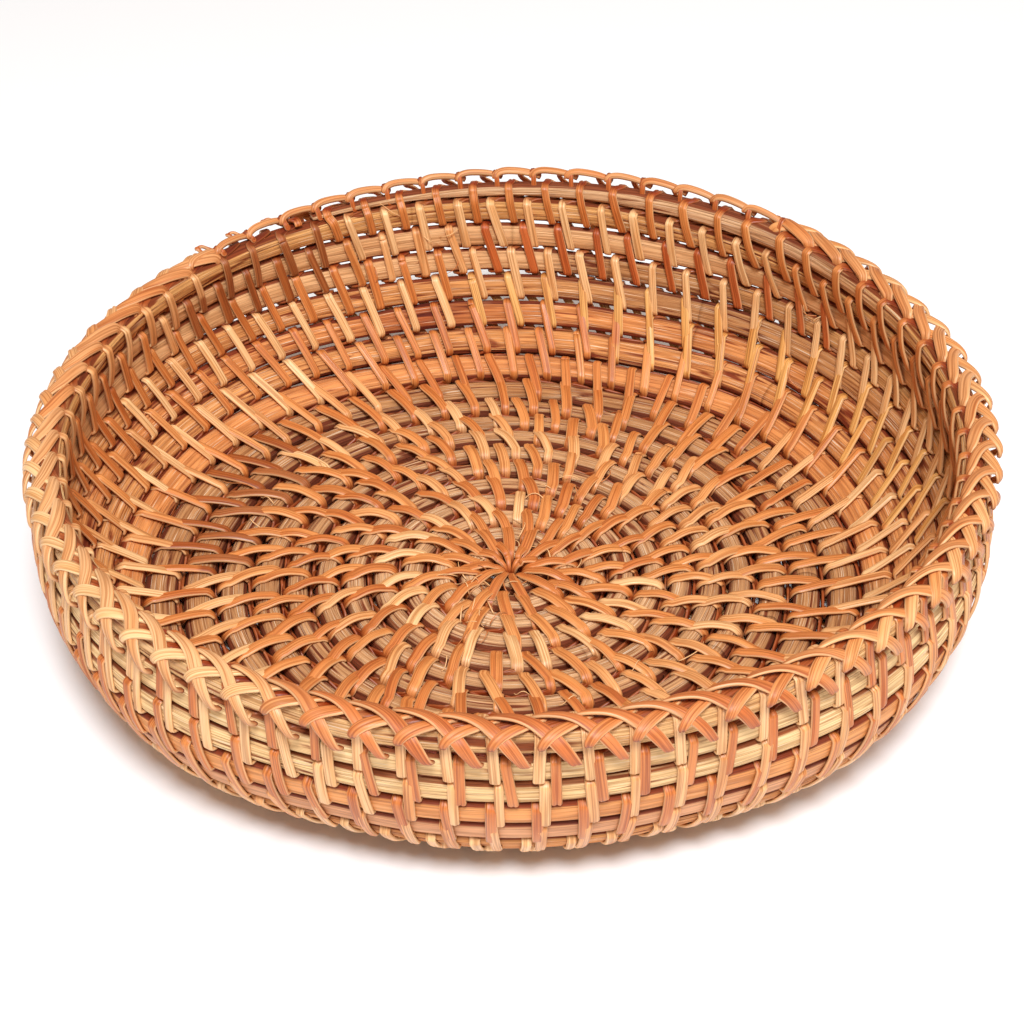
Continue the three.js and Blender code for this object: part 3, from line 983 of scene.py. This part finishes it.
def lengths(names, start, stop):
    """Splits a run of turns into equal lengths, in whole CAD steps."""
    total = round((stop - start) * STEPS_PER_TURN)
    for i, name in enumerate(names):
        first = start + round(i * total / len(names)) / STEPS_PER_TURN
        last = start + round((i + 1) * total / len(names)) / STEPS_PER_TURN
        yield name, first, last


def settle(piece, slot, *nodes):
    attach(piece, "root")
    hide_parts(*nodes)


def build_basket():
    rods = {"floor": rod_material("floor_cane_rod"), "wall": rod_material("wall_cane_rod")}
    lashing = cane_material("lashing_cane_skin", 0.40)
    plait = cane_material("plait_cane_skin", 0.44)

    for name, start, stop in lengths(ordered_nodes("coil"), COIL_START, COIL_END):
        region = "floor" if name.startswith("floor") else "wall"
        piece = build_rod(name.replace("coil", "cane_rod"), start, stop, rods[region])
        settle(piece, f"{region}_rod", name)
    for name, start, stop in lengths(ordered_nodes("lashing"), LASHING_START, COIL_END):
        piece = build_lashing(name.replace("lashing", "cane_strip"), start, stop, lashing)
        settle(piece, "lashing_cane", name)
    eye = build_lashing("eye_cane_strip", 0.0, LASHING_START, lashing)
    settle(eye, "lashing_cane", "eye_knot")
    settle(build_fibres("stray_cane_fibres", lashing), "lashing_cane", "eye_knot")

    middle = (PLAIT_JOIN + PLAIT_LEAVE) / 2
    left = build_plait("rim_plait_left", PLAIT_JOIN, middle, plait)
    settle(left, "plait_cane", "rim_plait")
    right = build_plait("rim_plait_right", middle, PLAIT_LEAVE, plait)
    settle(right, "plait_cane", "rim_plait")
    bridge = build_bridge("rim_open_plait", PLAIT_LEAVE, PLAIT_JOIN + 1, plait)
    settle(bridge, "plait_cane", "rim_plait")


# ---------------------------------------------------------------- stage, lights, camera
FLOOR_SIZE = 6.0
CAMERA_TARGET = (0.0, 0.0, 0.02885)
CAMERA_DISTANCE = 0.6
CAMERA_ELEVATION = math.radians(37.76)
CAMERA_LENS = 80.1
CAMERA_SENSOR = 36
CAMERA_SHIFT = -0.0032
CAMERA_CLIP = 0.05
FLOOR_COLOUR = (0.94, 0.95, 0.96, 1)
KEY_POSITION, KEY_SIZE, KEY_POWER = (0.04, -0.93, 1.53), 0.46, 31.5
KEY_COLOUR = (0.97, 1.0, 1.04)
FILL_POSITION, FILL_SIZE, FILL_POWER = (0.5, -0.3, 1.0), 0.8, 3.0
WORLD_COLOUR, WORLD_STRENGTH = (1.0, 0.85, 0.73, 1), 0.40


def plain_surface(name, colour, roughness):
    material, tree = new_material(name)
    shader = node(tree, "ShaderNodeBsdfPrincipled", {"Base Color": colour, "Roughness": roughness})
    output = node(tree, "ShaderNodeOutputMaterial")
    tree.links.new(shader.outputs[0], output.inputs["Surface"])
    return material


def add_floor():
    half = FLOOR_SIZE / 2
    mesh = bpy.data.meshes.new("stage_floor")
    corners = [(-half, -half, 0), (half, -half, 0), (half, half, 0), (-half, half, 0)]
    mesh.from_pydata(corners, [], [(0, 1, 2, 3)])
    mesh.materials.append(plain_surface("stage_white", FLOOR_COLOUR, 0.9))
    floor = bpy.data.objects.new("stage_floor", mesh)
    bpy.context.scene.collection.objects.link(floor)


def add_softbox(name, position, size, power, colour=(1, 1, 1)):
    light = bpy.data.lights.new(name, "AREA")
    light.shape = "DISK"
    light.size = size
    light.energy = power
    light.color = colour
    lamp = bpy.data.objects.new(name, light)
    lamp.location = position
    aim = -lamp.location
    lamp.rotation_euler = aim.to_track_quat("-Z", "Y").to_euler()
    bpy.context.scene.collection.objects.link(lamp)


def add_lights():
    add_softbox("key_softbox", KEY_POSITION, KEY_SIZE, KEY_POWER, KEY_COLOUR)
    add_softbox("fill_softbox", FILL_POSITION, FILL_SIZE, FILL_POWER)
    world = bpy.data.worlds.new("studio")
    world.use_nodes = True
    background = world.node_tree.nodes["Background"]
    background.inputs["Color"].default_value = WORLD_COLOUR
    background.inputs["Strength"].default_value = WORLD_STRENGTH
    bpy.context.scene.world = world


def add_camera():
    data = bpy.data.cameras.new("camera")
    data.lens = CAMERA_LENS
    data.sensor_width = CAMERA_SENSOR
    data.shift_y = CAMERA_SHIFT
    data.clip_start = CAMERA_CLIP
    camera = bpy.data.objects.new("camera", data)
    back = np.array([0, -math.cos(CAMERA_ELEVATION), math.sin(CAMERA_ELEVATION)])
    camera.location = np.array(CAMERA_TARGET) + back * CAMERA_DISTANCE
    camera.rotation_euler = (math.pi / 2 - CAMERA_ELEVATION, 0, 0)
    bpy.context.scene.collection.objects.link(camera)
    bpy.context.scene.camera = camera


build_basket()
add_floor()
add_lights()
add_camera()
bpy.context.scene.view_settings.view_transform = "Standard"
